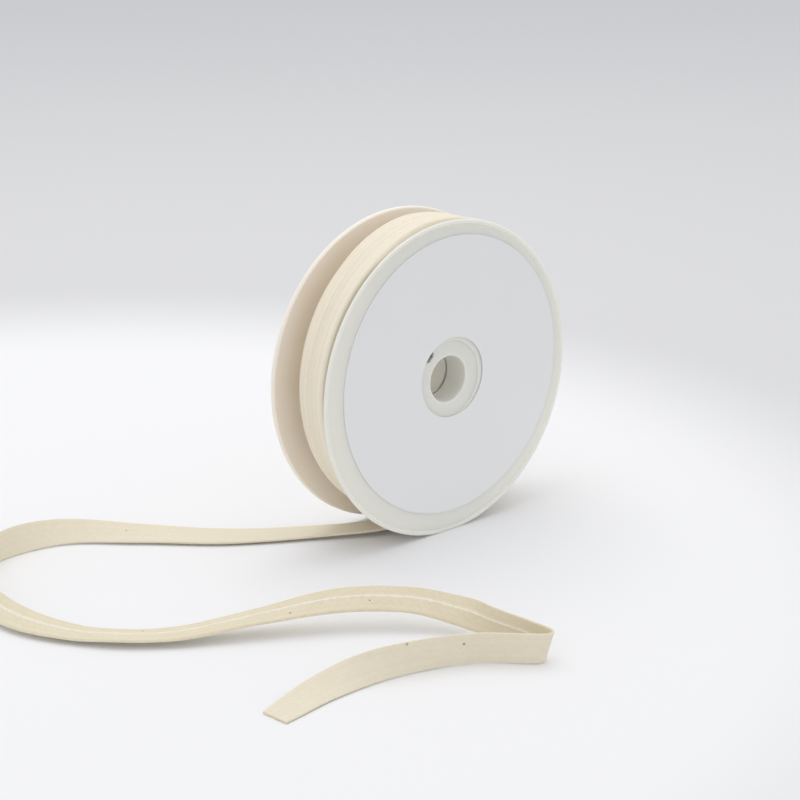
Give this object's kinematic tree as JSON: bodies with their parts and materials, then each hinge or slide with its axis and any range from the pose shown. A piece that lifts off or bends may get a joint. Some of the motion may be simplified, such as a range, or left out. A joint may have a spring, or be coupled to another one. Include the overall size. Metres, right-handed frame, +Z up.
{
  "type": "roll of piping tape on a plastic reel",
  "caption": "Flanged plastic reel standing on its rims, wound with folded cotton tape whose loose end runs over the floor, with a round paper label on its front.",
  "frame": {"origin": "middle of the flat spot under the front rim, on the surface that the reel stands on", "axes": "+Z up; the reel's axis runs along Y, its labelled face looks along -Y, and the tape leaves under the reel towards -X"},
  "size_m": [0.3132, 0.265, 0.1596],
  "materials": {
    "reel_plastic": "satin moulded polystyrene, off-white",
    "core_plastic": "matt regrind polystyrene, warm grey with fine moulding lines",
    "label_paper": "uncoated light grey label paper, bare",
    "cotton_tape": "plain woven unbleached cotton, folded, both edges turned in to a seam"
  },
  "bodies": {
    "root": {"front_flange": "reel_plastic", "back_flange": "reel_plastic", "hub_core": "core_plastic", "wound_tape": "cotton_tape", "paper_label": "label_paper", "loose_tape": "cotton_tape"}
  },
  "joints": []
}
